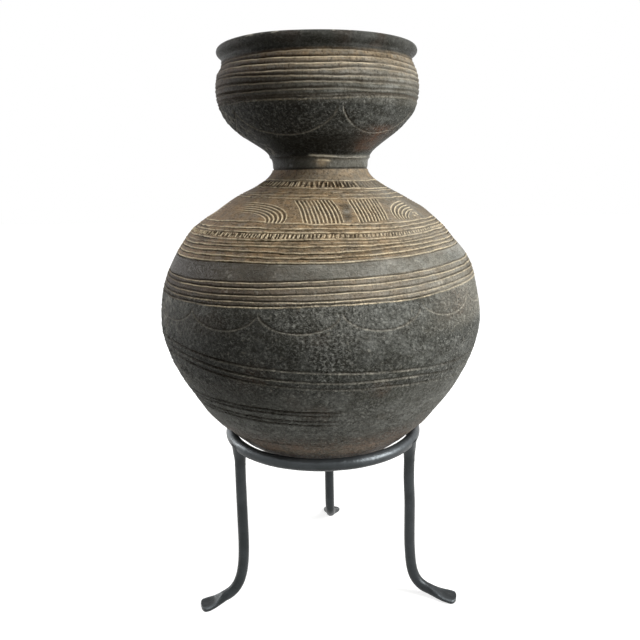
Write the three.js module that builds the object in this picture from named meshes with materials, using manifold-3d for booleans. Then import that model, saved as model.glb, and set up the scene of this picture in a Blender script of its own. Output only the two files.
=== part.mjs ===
// A round-bottomed earthenware water jar standing in a forged iron tripod.
// Millimetres, +Z up. The origin lies on the floor under the jar's axis, and the front faces -Y.
import * as THREE from "three";
import { mergeVertices } from "three/addons/utils/BufferGeometryUtils.js";
import Module from "manifold-3d";

const wasm = await Module();
wasm.setup();

// Stand: one ring and three legs, all of round iron bar
const ringBar = 13;
const ringRadius = 106; // to the middle of the bar
const ringHeight = 189; // from the floor to the middle of the bar
const ringSteps = 48;
const legBar = 12;
const legAzimuths = { left: -60.6, right: 64.2, rear: 175.8 }; // degrees, 0 in front, + to the right
const kneeHeight = 82; // where the upright leg starts to bend outwards
const heelReach = 25; // from the upright to where the round bar ends and the hammered foot starts
const heelHeight = 9; // middle of the bar at the heel
const toeReach = { left: 52, right: 56, rear: 48 }; // each foot was bent and hammered by eye
const footTurn = { left: -10, right: 9, rear: 0 }; // degrees that it points aside from straight out
const toeWidth = 23;
const toeThickness = 5;
const padDepth = 0.6; // filed off under the toe, so that it stands flat
const weldLeg = 4.5; // how far a fillet weld spreads beyond the bar
const weldDrop = 8; // how far it runs down the leg
const buttWeldAzimuth = 150; // where the ring's two bar ends meet
const buttWeldWidth = 4;
const buttWeldProud = 0.5;

// Jar: heights are above its lowest point, radii are outside the wall
const bellyRadius = 174.5;
const bellyHeight = 177;
const throatRadius = 50.3;
const throatHeight = 338.3;
const cupRadius = 105.8;
const cupHeight = 417.3;
const lipNeckRadius = 98.6;
const lipNeckHeight = 445.6;
const lipRadius = 103.5;
const lipHeight = 457.5;
const lipRoll = 5; // the lip's widest place is this far below its top
const wall = 8;
const baseWall = 11;

// How far each span of the outline runs straight on before it turns, as a share of its rise
const baseSpread = 0.52; // of the belly's radius
const bellyFullness = { below: 0.35, above: 0.765 };
const throatHold = { below: 0.19, above: 0.35 };
const cupFullness = { below: 0.68, above: 0.54 };
const lipNeckHold = 0.24;

// The wall was raised by eye, so its middle leans and it swells. Each row holds a height, how far the
// middle stands to the right there and how far the wall stands outside the true round.
const handBuilt = [
  [0, 0, 0],
  [60, 0, 0],
  [102, 0.6, -0.3],
  [177, -0.4, 0.3],
  [237, -1.1, -1],
  [282, -1.3, 0.7],
  [317, 0.8, -0.6],
  [339, 1.8, 0.7],
  [354, 1.4, -0.5],
  [377, 0.5, 0.4],
  [410, -0.3, 0.5],
  [lipHeight, -0.3, 0],
];

// The deepest lines incised round the jar, each as a share of the rise that it lies on
const linesBelowBelly = [0.61, 0.836];
const linesBelowThroat = [0.257, 0.381, 0.477, 0.673, 0.9175];
const linesBelowLip = [0.58, 0.78, 0.887];
const lineWidth = 3.4;
const lineDepth = 1.3;

// Where the separately formed clay sections were luted together
const neckBelowThroat = 3.5;
const neckAboveThroat = 9;
const rimJointDrop = 1; // the rim coil starts this far below the lip's neck
const fineSteps = 120; // samples of one span when the outline is measured

const gap = 0.3; // between two pieces that seat on each other
const turnSegments = 52;

const clay = { color: 0x3b3833, roughness: 0.62, metalness: 0 };
const iron = { color: 0x2b2d2f, roughness: 0.5, metalness: 0.7 };

// Solids and geometries for the joints that one piece cuts into another
function solidFrom(geometry) {
  const bare = geometry.clone();
  bare.deleteAttribute("normal");
  bare.deleteAttribute("uv");
  const merged = mergeVertices(bare, 1e-4);
  return new wasm.Manifold(
    new wasm.Mesh({
      numProp: 3,
      vertProperties: new Float32Array(merged.attributes.position.array),
      triVerts: new Uint32Array(merged.index.array),
    }),
  );
}

function geometryFrom(solid) {
  const mesh = solid.getMesh();
  const geometry = new THREE.BufferGeometry();
  geometry.setAttribute("position", new THREE.BufferAttribute(mesh.vertProperties, 3));
  geometry.setIndex(new THREE.BufferAttribute(mesh.triVerts, 1));
  return geometry;
}

function piece(name, geometry, finish) {
  geometry.computeVertexNormals();
  const mesh = new THREE.Mesh(geometry, new THREE.MeshStandardMaterial(finish));
  mesh.name = name;
  return mesh;
}

// A closed profile of (radius, height) points turned about +Z
function turned(profile, segments = turnSegments) {
  return new THREE.LatheGeometry(profile, segments).rotateX(Math.PI / 2);
}

function point(radius, height) {
  return new THREE.Vector2(radius, height);
}

// The jar's outer outline from its pole to the neck of the lip. Its four spans meet where the wall
// stands upright: at the belly, the throat and the cup.
function jarOutline() {
  const rise = throatHeight - bellyHeight;
  const cupRise = cupHeight - throatHeight;
  const lipRise = lipNeckHeight - cupHeight;
  const spans = [
    new THREE.CubicBezierCurve(
      point(0, 0),
      point(baseSpread * bellyRadius, 0),
      point(bellyRadius, bellyHeight * (1 - bellyFullness.below)),
      point(bellyRadius, bellyHeight),
    ),
    new THREE.CubicBezierCurve(
      point(bellyRadius, bellyHeight),
      point(bellyRadius, bellyHeight + bellyFullness.above * rise),
      point(throatRadius, throatHeight - throatHold.below * rise),
      point(throatRadius, throatHeight),
    ),
    new THREE.CubicBezierCurve(
      point(throatRadius, throatHeight),
      point(throatRadius, throatHeight + throatHold.above * cupRise),
      point(cupRadius, cupHeight - cupFullness.below * cupRise),
      point(cupRadius, cupHeight),
    ),
    new THREE.CubicBezierCurve(
      point(cupRadius, cupHeight),
      point(cupRadius, cupHeight + cupFullness.above * lipRise),
      point(lipNeckRadius, lipNeckHeight - lipNeckHold * lipRise),
      point(lipNeckRadius, lipNeckHeight),
    ),
  ];
  return spans.flatMap((span, i) => span.getPoints(fineSteps).slice(i ? 1 : 0));
}

// The inside of the wall: every point of the outline moved in, square to the wall. The base is thicker.
function jarInside(outline) {
  return outline.map((here, i) => {
    const before = outline[Math.max(i - 1, 0)];
    const after = outline[Math.min(i + 1, outline.length - 1)];
    const along = i ? after.clone().sub(before).normalize() : point(1, 0);
    const low = Math.max(0, 1 - here.y / bellyHeight);
    const thickness = wall + (baseWall - wall) * low * low;
    return point(here.x - along.y * thickness, here.y + along.x * thickness);
  });
}

// Where a line of points that climbs crosses a height
function crossing(line, height) {
  const above = line.findIndex((p) => p.y >= height);
  if (above <= 0) return line[0].clone();
  const [low, high] = [line[above - 1], line[above]];
  const share = (height - low.y) / (high.y - low.y);
  return point(low.x + share * (high.x - low.x), height);
}

// A stretch of such a line between two heights, in steps of equal length
function stretch(line, from, to, steps) {
  const cut = [
    crossing(line, from),
    ...line.filter((p) => p.y > from && p.y < to),
    crossing(line, to),
  ];
  const path = new THREE.CurvePath();
  for (let i = 1; i < cut.length; i++) path.add(new THREE.LineCurve(cut[i - 1], cut[i]));
  return path.getSpacedPoints(steps).map((p) => point(p.x, p.y));
}

// The heights that lie at given shares of a rise
function linesUp(from, to, shares) {
  return shares.map((share) => THREE.MathUtils.lerp(from, to, share));
}

// A stretch of the outline with a V-shaped line cut into it, square to the wall, at each given height
function scored(outline, from, to, steps, lines) {
  const clear = (p) => lines.every((height) => Math.abs(p.y - height) > 1.1 * lineWidth);
  const plain = stretch(outline, from, to, steps).map((p) => ({ height: p.y, points: [p] }));
  const kept = plain.filter((item, i) => i === 0 || i === steps || clear(item.points[0]));
  const cuts = lines.map((height) => {
    const along = crossing(outline, height + 1).sub(crossing(outline, height - 1)).normalize();
    const middle = crossing(outline, height);
    const edge = (side) => crossing(outline, height + (side * along.y * lineWidth) / 2);
    const bottom = point(middle.x - along.y * lineDepth, middle.y + along.x * lineDepth);
    return { height, points: [edge(-1), bottom, edge(1)] };
  });
  return [...kept, ...cuts].sort((a, b) => a.height - b.height).flatMap((item) => item.points);
}

// Moves a turned section's points to where the hand-built wall has them
function leaned(geometry) {
  const place = geometry.attributes.position;
  for (let i = 0; i < place.count; i++) {
    const [x, y, z] = [place.getX(i), place.getY(i), place.getZ(i)];
    const above = handBuilt.findIndex((row) => row[0] > z);
    const high = handBuilt[above < 0 ? handBuilt.length - 1 : Math.max(above, 1)];
    const low = handBuilt[handBuilt.indexOf(high) - 1];
    const share = THREE.MathUtils.smoothstep(z, low[0], high[0]);
    const [lean, swell] = [1, 2].map((k) => THREE.MathUtils.lerp(low[k], high[k], share));
    const wider = 1 + swell / Math.max(Math.hypot(x, y), wall);
    place.setXYZ(i, x * wider + lean, y * wider, z);
  }
  return geometry;
}

// One clay section between two level joints: up the outside, down the inside, and closed
function claySection(outline, inside, from, to, outerSteps, innerSteps, lines = []) {
  const outer = scored(outline, from, to, outerSteps, lines);
  const inner = stretch(inside, from, to, innerSteps).reverse();
  return leaned(turned([...outer, ...inner, outer[0].clone()]));
}

// The bowl-shaped base, which was beaten out over a mould, is closed at its pole
function jarBase(outline, inside) {
  const outer = scored(outline, 0, bellyHeight, 11, linesUp(0, bellyHeight, linesBelowBelly));
  const floor = inside[0];
  const inner = stretch(inside, floor.y, bellyHeight, 7).reverse();
  outer[0].x = 0;
  inner.at(-1).x = 0;
  return leaned(turned([...outer, ...inner]));
}

// The lip is one more coil, turned out and rounded over
function jarRim(outline, inside, joint) {
  const outer = crossing(outline, joint);
  const inner = crossing(inside, joint);
  const crest = lipRadius - lipRoll;
  const shoulder = lipHeight - lipRoll;
  const flare = new THREE.CubicBezierCurve(
    outer,
    point(outer.x, joint + 0.4 * (shoulder - joint)),
    point(lipRadius, shoulder - 0.4 * (shoulder - joint)),
    point(lipRadius, shoulder),
  ).getPoints(4);
  const over = new THREE.EllipseCurve(crest, shoulder, lipRoll, lipRoll, 0, Math.PI / 2).getPoints(4);
  const into = new THREE.CubicBezierCurve(
    point(crest, lipHeight),
    point(crest - lipRoll, lipHeight),
    point(inner.x, lipHeight - lipRoll),
    inner,
  ).getPoints(4);
  const loop = [...flare, ...over.slice(1), ...into.slice(1)];
  return leaned(turned([...loop, loop[0].clone()]));
}

// How high the jar's lowest point stands when its rounded base rests in the ring: over each point of
// the outline above the bar, the bar's surface plus the gap is the least height that clears it.
function seatHeight(outline) {
  const reach = ringBar / 2 + gap;
  const near = outline.filter((p) => p.y < bellyHeight && Math.abs(p.x - ringRadius) < reach);
  const needed = near.map((p) => ringHeight + Math.sqrt(reach ** 2 - (p.x - ringRadius) ** 2) - p.y);
  return Math.max(...needed);
}

// Round bar bent to an arc of the ring, with square ends. Angles are azimuths in radians.
class RingArc extends THREE.Curve {
  constructor(from, to) {
    super();
    this.from = from;
    this.sweep = to - from;
  }
  getPoint(share) {
    const azimuth = this.from + share * this.sweep;
    return new THREE.Vector3(
      ringRadius * Math.sin(azimuth),
      -ringRadius * Math.cos(azimuth),
      ringHeight,
    );
  }
}

function bentBar(from, to, diameter, steps) {
  const section = new THREE.Shape().absarc(0, 0, diameter / 2, 0, 2 * Math.PI);
  return new THREE.ExtrudeGeometry(section, {
    extrudePath: new RingArc(from, to),
    steps,
    curveSegments: 6,
  });
}

// The ring's bar is open by the width of the weld that closes it
function standRing() {
  const middle = THREE.MathUtils.degToRad(buttWeldAzimuth);
  const half = (buttWeldWidth / 2 + gap) / ringRadius;
  return bentBar(middle + half, middle + 2 * Math.PI - half, ringBar, ringSteps);
}

function ringButtWeld() {
  const middle = THREE.MathUtils.degToRad(buttWeldAzimuth);
  const half = buttWeldWidth / 2 / ringRadius;
  return bentBar(middle - half, middle + half, ringBar + 2 * buttWeldProud, 2);
}

// A leg in its own upright plane: the upright stands at 0 and +X points along the foot. Each station
// holds the middle of the bar, its half width and half thickness, and how square its section is.
function legStations(reach) {
  const knee = new THREE.CubicBezierCurve(
    point(0, kneeHeight),
    point(0, 0.45 * kneeHeight),
    point(0.16 * heelReach, heelHeight + 0.07 * kneeHeight),
    point(heelReach, heelHeight),
  );
  const toeMiddle = toeThickness / 2 - padDepth;
  const bar = legBar / 2;
  const stations = [ringHeight, 150, 115]
    .filter((z) => z > kneeHeight)
    .map((z) => ({ at: point(0, z), wide: bar, thick: bar, square: 2 }));
  for (const at of knee.getPoints(9)) stations.push({ at, wide: bar, thick: bar, square: 2 });
  const footSteps = 9;
  for (let i = 1; i <= footSteps; i++) {
    const share = i / footSteps;
    const flat = share * share * (3 - 2 * share);
    const tip = Math.max(0, (share - 0.75) / 0.25); // the last quarter is rounded off at its corners
    stations.push({
      at: point(
        THREE.MathUtils.lerp(heelReach, reach, share),
        THREE.MathUtils.lerp(heelHeight, toeMiddle, 1 - (1 - share) ** 2),
      ),
      wide: THREE.MathUtils.lerp(bar, toeWidth / 2, flat) * (1 - 0.42 * tip ** 3),
      thick: THREE.MathUtils.lerp(bar, toeThickness / 2, flat),
      square: 2 + 1.6 * flat,
    });
  }
  return stations;
}

// A bar forged along those stations: rounded sections square to its run, joined ring by ring
function forgedBar(stations, sides = 14) {
  const corners = [];
  stations.forEach(({ at, wide, thick, square }, i) => {
    const before = stations[Math.max(i - 1, 0)].at;
    const after = stations[Math.min(i + 1, stations.length - 1)].at;
    const along = after.clone().sub(before).normalize();
    for (let k = 0; k < sides; k++) {
      const turn = (2 * Math.PI * k) / sides;
      const reach = (value) => Math.sign(value) * Math.abs(value) ** (2 / square);
      const across = wide * reach(Math.cos(turn));
      const up = thick * reach(Math.sin(turn));
      corners.push(at.x - up * along.y, across, at.y + up * along.x);
    }
  });
  const last = stations.length - 1;
  const faces = [];
  for (let i = 0; i < last; i++)
    for (let k = 0; k < sides; k++) {
      const [a, b] = [i * sides + k, i * sides + ((k + 1) % sides)];
      faces.push(a, b, a + sides, b, b + sides, a + sides);
    }
  for (let k = 1; k < sides - 1; k++) {
    faces.push(0, k + 1, k);
    faces.push(last * sides, last * sides + k, last * sides + k + 1);
  }
  const bar = new THREE.BufferGeometry();
  bar.setAttribute("position", new THREE.Float32BufferAttribute(corners, 3));
  bar.setIndex(faces);
  return bar;
}

// The ring's bar with the gap round it, for cutting what seats under it
function ringCutter() {
  const bar = new THREE.TorusGeometry(ringRadius, ringBar / 2 + gap, 16, 96);
  return solidFrom(bar.translate(0, 0, ringHeight));
}

// The leg's top is cupped to the underside of the ring, and its toe is filed flat on the floor
function leg(side) {
  const floorDepth = 40;
  const floor = new THREE.BoxGeometry(4 * ringRadius, 4 * ringRadius, floorDepth);
  const bar = forgedBar(legStations(toeReach[side]))
    .rotateZ(THREE.MathUtils.degToRad(footTurn[side]))
    .translate(ringRadius, 0, 0);
  return geometryFrom(
    solidFrom(bar)
      .subtract(ringCutter())
      .subtract(solidFrom(floor.translate(0, 0, -floorDepth / 2))),
  );
}

// A fillet weld runs round the leg's top and up both sides of the ring's bar
function legWeld() {
  const inner = legBar / 2 + gap;
  const outer = legBar / 2 + weldLeg;
  const under = ringHeight - ringBar / 2;
  const top = under + 0.35 * ringBar;
  const sweep = new THREE.CubicBezierCurve(
    point(inner + 0.3, under - weldDrop),
    point(inner + 0.5, under - 0.3 * weldDrop),
    point(outer - 1, under - 0.5),
    point(outer, top),
  ).getPoints(6);
  const loop = [...sweep, point(inner, top), point(inner, under - weldDrop)];
  const collar = turned([...loop, loop[0].clone()], 24).translate(ringRadius, 0, 0);
  return geometryFrom(solidFrom(collar).subtract(ringCutter()));
}

const outline = jarOutline();
const inside = jarInside(outline);
const neckFrom = throatHeight - neckBelowThroat;
const neckTo = throatHeight + neckAboveThroat;
const rimFrom = lipNeckHeight - rimJointDrop;

const jar = new THREE.Group();
jar.position.z = seatHeight(outline);
const shoulderLines = linesUp(bellyHeight, throatHeight, linesBelowThroat);
const cupLines = linesUp(throatHeight, lipNeckHeight, linesBelowLip);
const shoulder = claySection(outline, inside, bellyHeight, neckFrom, 14, 8, shoulderLines);
const cup = claySection(outline, inside, neckTo, rimFrom, 10, 6, cupLines);
jar.add(piece("jar_base", jarBase(outline, inside), clay));
jar.add(piece("jar_shoulder", shoulder, clay));
jar.add(piece("jar_neck", claySection(outline, inside, neckFrom, neckTo, 4, 2), clay));
jar.add(piece("jar_cup", cup, clay));
jar.add(piece("jar_rim", jarRim(outline, inside, rimFrom), clay));

const stand = new THREE.Group();
stand.add(piece("stand_ring", standRing(), iron));
stand.add(piece("ring_butt_weld", ringButtWeld(), iron));
for (const [side, azimuth] of Object.entries(legAzimuths)) {
  const corner = new THREE.Group();
  corner.rotation.z = THREE.MathUtils.degToRad(azimuth - 90);
  corner.add(piece(`leg_${side}`, leg(side), iron));
  corner.add(piece(`weld_${side}`, legWeld(), iron));
  stand.add(corner);
}

const waterJar = new THREE.Group();
waterJar.add(jar, stand);
export default waterJar;
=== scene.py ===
"""A hand-built, smoke-blackened earthenware water jar, incised and combed, in a forged iron tripod.

Lengths are in millimetres until a mesh is made. Azimuths are in degrees: 0 faces the front (-Y) and
positive ones lie to the right (+X). Heights are from the floor."""

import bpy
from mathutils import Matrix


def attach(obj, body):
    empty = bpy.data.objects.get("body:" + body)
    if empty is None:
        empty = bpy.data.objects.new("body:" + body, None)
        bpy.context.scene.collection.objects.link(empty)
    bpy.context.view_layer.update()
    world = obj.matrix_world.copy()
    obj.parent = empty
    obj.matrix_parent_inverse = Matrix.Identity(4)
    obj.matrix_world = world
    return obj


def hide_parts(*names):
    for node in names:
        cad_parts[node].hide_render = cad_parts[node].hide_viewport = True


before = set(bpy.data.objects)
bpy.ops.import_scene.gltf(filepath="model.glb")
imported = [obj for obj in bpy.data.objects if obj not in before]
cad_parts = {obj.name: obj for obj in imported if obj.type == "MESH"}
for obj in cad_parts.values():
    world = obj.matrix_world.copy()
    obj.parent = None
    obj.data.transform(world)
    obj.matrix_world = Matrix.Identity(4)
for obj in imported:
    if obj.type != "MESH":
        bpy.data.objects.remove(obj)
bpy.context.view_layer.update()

import math

import bpy
import numpy as np
from mathutils import Matrix

MM = 0.001

# The ring: 13 mm round iron bar bent to a hoop by hand, so it is a little out of round and flat.
# It was blackened in the fire and waxed. The jar's round bottom drops into it.

RING_BAR = 13.0
RING_RADIUS = 106.0
RING_HEIGHT = 189.0
RING_STEPS = 420


def linear(hex_colour):
    """An sRGB hex colour as the linear RGBA that sockets take."""
    channels = [int(hex_colour[i:i + 2], 16) / 255 for i in (1, 3, 5)]
    return [c / 12.92 if c <= 0.04045 else ((c + 0.055) / 1.055) ** 2.4 for c in channels] + [1.0]


def smooth(value, low, high):
    """0 below low, 1 above high, and an S-curve between them."""
    share = np.clip((value - low) / (high - low), 0, 1)
    return share * share * (3 - 2 * share)


def window(value, low, high, edge):
    """1 from low to high, fading to 0 within an edge outside them."""
    return smooth(value, low - edge, low) * (1 - smooth(value, high, high + edge))


def ridge(value, centre, width):
    """A bell curve of height 1."""
    return np.exp(-(((value - centre) / width) ** 2))


def even_random(ix, iy, iz, seed):
    """An even random number from 0 to 1 for each whole-numbered place."""
    h = (ix * 374761393 + iy * 668265263 + iz * 1442695041 + seed * 974634777) & 0xFFFFFFFF
    h = ((h ^ (h >> 13)) * 1274126177) & 0xFFFFFFFF
    return ((h ^ (h >> 16)) & 0xFFFFFF) / 0xFFFFFF


def noise(points, size, seed):
    """Smooth noise from -1 to 1: random values at the corners of cells of a size, blended between."""
    place = points / size
    corner = np.floor(place).astype(np.int64)
    part = place - corner
    part = part * part * (3 - 2 * part)
    total = 0
    for dx, dy, dz in np.ndindex(2, 2, 2):
        weight = 1
        for axis, step in enumerate((dx, dy, dz)):
            weight = weight * (part[..., axis] if step else 1 - part[..., axis])
        at_corner = even_random(corner[..., 0] + dx, corner[..., 1] + dy, corner[..., 2] + dz, seed)
        total = total + weight * at_corner
    return 2 * total - 1


def skin(points, loop_rows=False, close_start=False, close_end=False):
    """Triangles over a grid of points whose rows each run round the body. The rows may close on
    themselves, or an end may be closed by a fan about its middle."""
    rows, columns = points.shape[:2]
    low, across = np.meshgrid(np.arange(rows if loop_rows else rows - 1), np.arange(columns), indexing="ij")
    up, on = (low + 1) % rows, (across + 1) % columns
    a, b, c, d = (r * columns + k for r, k in ((low, across), (low, on), (up, on), (up, across)))
    triangles = [np.stack([a, b, c], -1).reshape(-1, 3), np.stack([a, c, d], -1).reshape(-1, 3)]
    flat = [points.reshape(-1, 3)]
    here = np.arange(columns)
    ahead = (here + 1) % columns
    middle = rows * columns
    if close_start:
        flat.append(points[0].mean(0)[None])
        triangles.append(np.stack([np.full(columns, middle), ahead, here], -1))
        middle += 1
    if close_end:
        base = (rows - 1) * columns
        flat.append(points[-1].mean(0)[None])
        triangles.append(np.stack([np.full(columns, middle), base + here, base + ahead], -1))
    return np.vstack(flat), np.vstack(triangles)


def make_piece(name, surface, body, node, material, marks=None):
    """A smooth mesh from (points, triangles) that rides on a body and takes a CAD node's place.
    Each mark is one number for each point."""
    points, triangles = surface
    mesh = bpy.data.meshes.new(name)
    mesh.vertices.add(len(points))
    mesh.vertices.foreach_set("co", (points * MM).astype(np.float32).ravel())
    mesh.loops.add(triangles.size)
    mesh.loops.foreach_set("vertex_index", triangles.astype(np.int32).ravel())
    mesh.polygons.add(len(triangles))
    mesh.polygons.foreach_set("loop_start", np.arange(0, triangles.size, 3, dtype=np.int32))
    mesh.update(calc_edges=True)
    mesh.polygons.foreach_set("use_smooth", np.ones(len(triangles), bool))
    mesh.set_sharp_from_angle(angle=math.radians(70))
    for key, values in (marks or {}).items():
        layer = mesh.attributes.new(key, "FLOAT", "POINT")
        filled = np.zeros(len(points), np.float32)
        filled[:np.size(values)] = np.ravel(values)
        layer.data.foreach_set("value", filled)
    mesh.materials.append(material)
    piece = bpy.data.objects.new(name, mesh)
    bpy.context.scene.collection.objects.link(piece)
    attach(piece, body)
    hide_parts(node)


def add_node(tree, kind, inputs=None, out=0, **settings):
    """One node with its settings. An input is a value, or another node's output. Its own comes back.
    By number, a map range takes its value, then the range it lies in, then the range it is given.
    A mix of colours takes its share as 0 and its colours as 6 and 7, and its result is output 2."""
    node = tree.nodes.new(kind)
    for key, value in settings.items():
        setattr(node, key, value)
    for key, value in (inputs or {}).items():
        if isinstance(value, bpy.types.NodeSocket):
            tree.links.new(value, node.inputs[key])
        else:
            node.inputs[key].default_value = value
    return node.outputs[out] if node.outputs else None


def new_tree(name):
    """A new material and its empty node tree."""
    material = bpy.data.materials.new(name)
    material.use_nodes = True
    material.node_tree.nodes.clear()
    return material, material.node_tree


def blackened_wrought_iron():
    """Bar iron with fire scale under wax: near black, satin, with a slow hammered waver in its
    highlights, scale in fine pits, and grey where an edge has worn, which on the hoop's top outer
    edge is partly a painted highlight."""
    material, tree = new_tree("blackened_wrought_iron")
    place = add_node(tree, "ShaderNodeTexCoord", out="Object")
    forge = add_node(tree, "ShaderNodeTexNoise", {"Vector": place, "Scale": 1 / (26 * MM), "Detail": 4.0})
    dents = add_node(tree, "ShaderNodeTexNoise", {"Vector": place, "Scale": 1 / (8 * MM), "Detail": 2.0})
    scale = add_node(tree, "ShaderNodeTexNoise", {"Vector": place, "Scale": 1 / (1.6 * MM), "Detail": 4.0})
    black, blue_grey, pit, worn = (linear(h) for h in ("#1c2021", "#2b2f31", "#101212", "#63686b"))
    patch = add_node(tree, "ShaderNodeMapRange", {0: forge, 1: 0.38, 2: 0.62})
    colour = add_node(tree, "ShaderNodeMix", {0: patch, 6: black, 7: blue_grey}, 2, data_type="RGBA")
    pitted = add_node(tree, "ShaderNodeMapRange", {0: scale, 1: 0.56, 2: 0.72, 4: 0.7})
    colour = add_node(tree, "ShaderNodeMix", {0: pitted, 6: colour, 7: pit}, 2, data_type="RGBA")
    # Grey of worn edges, and on the hoop's top outer edge also a painted highlight.
    wear_and_highlight = add_node(tree, "ShaderNodeAttribute", out="Fac", attribute_name="wear_and_highlight")
    colour = add_node(tree, "ShaderNodeMix", {0: wear_and_highlight, 6: colour, 7: worn}, 2, data_type="RGBA")
    rough = add_node(tree, "ShaderNodeMapRange", {0: scale, 1: 0.3, 2: 0.7, 3: 0.3, 4: 0.46})
    height = add_node(tree, "ShaderNodeMath", {0: scale, 1: 0.22, 2: dents}, operation="MULTIPLY_ADD")
    relief = add_node(tree, "ShaderNodeBump", {"Height": height, "Strength": 0.7, "Distance": 0.9 * MM})
    shader = add_node(
        tree,
        "ShaderNodeBsdfPrincipled",
        {"Base Color": colour, "Roughness": rough, "Metallic": 0.6, "Normal": relief},
    )
    add_node(tree, "ShaderNodeOutputMaterial", {"Surface": shader})
    return material


def ring_point(azimuth, radius, height):
    """The place at an azimuth in degrees, a radius and a height."""
    turn = np.radians(azimuth)
    return np.stack(np.broadcast_arrays(radius * np.sin(turn), -radius * np.cos(turn), height), -1)


def full_turn(steps):
    """Even steps round a circle, in degrees."""
    return np.arange(steps) * 360 / steps


def bent_bar(azimuth, radius, height, bar, sides=36):
    """Round bar along the ring: a circle of radius bar about each point of the ring's line."""
    section = np.radians(full_turn(sides))
    radius, height, bar = (np.reshape(v, (-1, 1)) if np.ndim(v) else v for v in (radius, height, bar))
    return ring_point(azimuth[:, None], radius + bar * np.cos(section), height + bar * np.sin(section))


IRON = blackened_wrought_iron()
hoop_azimuth = full_turn(RING_STEPS)
hoop_line = ring_point(hoop_azimuth, RING_RADIUS, RING_HEIGHT)
hoop = bent_bar(
    hoop_azimuth,
    RING_RADIUS + 0.35 * noise(hoop_line, 60, 901),
    RING_HEIGHT + 0.3 * noise(hoop_line, 70, 902),
    RING_BAR / 2 * (1 + 0.02 * noise(hoop_line, 16, 903)),
)
# Partly handling wear, partly a painted highlight: the hoop's top outer edge is painted grey where the light
# catches it.
handled_and_highlit = ridge(full_turn(hoop.shape[1]), 62, 42) * (0.62 + 0.3 * noise(hoop, 22, 904))
surface = skin(hoop[:, ::-1], loop_rows=True)
make_piece("stand_hoop", surface, "stand", "stand_ring", IRON, {"wear_and_highlight": handled_and_highlit[:, ::-1]})

# The weld that closes the hoop: where the bar's two ends meet, beside the rear leg, iron was run
# in round them in one bead, which was filed nearly flush with the bar.

BUTT_WELD_AZIMUTH = 150.0
BUTT_WELD_WIDTH = 6.4
BUTT_WELD_PROUD = 0.55

bead_share = np.linspace(-1, 1, 17)
bead_azimuth = BUTT_WELD_AZIMUTH + np.degrees(bead_share * BUTT_WELD_WIDTH / 2 / RING_RADIUS)
bead_bar = RING_BAR / 2 + BUTT_WELD_PROUD * np.cos(bead_share * math.pi / 2)
bead = bent_bar(bead_azimuth, RING_RADIUS, RING_HEIGHT, bead_bar)
bead = bead * (1 + 0.0012 * noise(bead, 2.5, 991)[..., None])
make_piece(
    "hoop_closing_weld", skin(bead[:, ::-1], close_start=True, close_end=True),
    "stand", "ring_butt_weld", IRON, {"wear_and_highlight": np.full(bead.shape[:2], 0.15)},
)

# The legs: 12 mm round bar, upright under the ring, bent outwards near the floor. From the heel on,
# the bar is hammered flat into a spade-shaped foot with a facet on top, and stands flat on its toe.

LEG_BAR = 12.0
LEG_AZIMUTHS = {"left": -60.6, "right": 64.2, "rear": 175.8}
FOOT_TURN = {"left": -10.0, "right": 9.0, "rear": 0.0}
TOE_REACH = {"left": 52.0, "right": 56.0, "rear": 48.0}
LEG_BOW = {"left": 0.0, "right": 1.3, "rear": 0.0}
KNEE_HEIGHT = 82.0
HEEL_REACH = 25.0
HEEL_HEIGHT = 9.0
TOE_WIDTH = 23.0
TOE_THICKNESS = 4.6
LEG_SIDES = 56


def bezier(a, b, c, d, steps):
    """Points at even steps of a cubic Bezier curve."""
    t = np.linspace(0, 1, steps + 1)[:, None]
    a, b, c, d = (np.array(p, float) for p in (a, b, c, d))
    return (1 - t) ** 3 * a + 3 * (1 - t) ** 2 * t * b + 3 * (1 - t) * t * t * c + t ** 3 * d


def directions(azimuth):
    """Away from the axis, sideways towards larger azimuths, and up, for an azimuth."""
    turn = math.radians(azimuth)
    return (
        np.array([math.sin(turn), -math.cos(turn), 0]),
        np.array([math.cos(turn), math.sin(turn), 0]),
        np.array([0, 0, 1.0]),
    )


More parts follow.
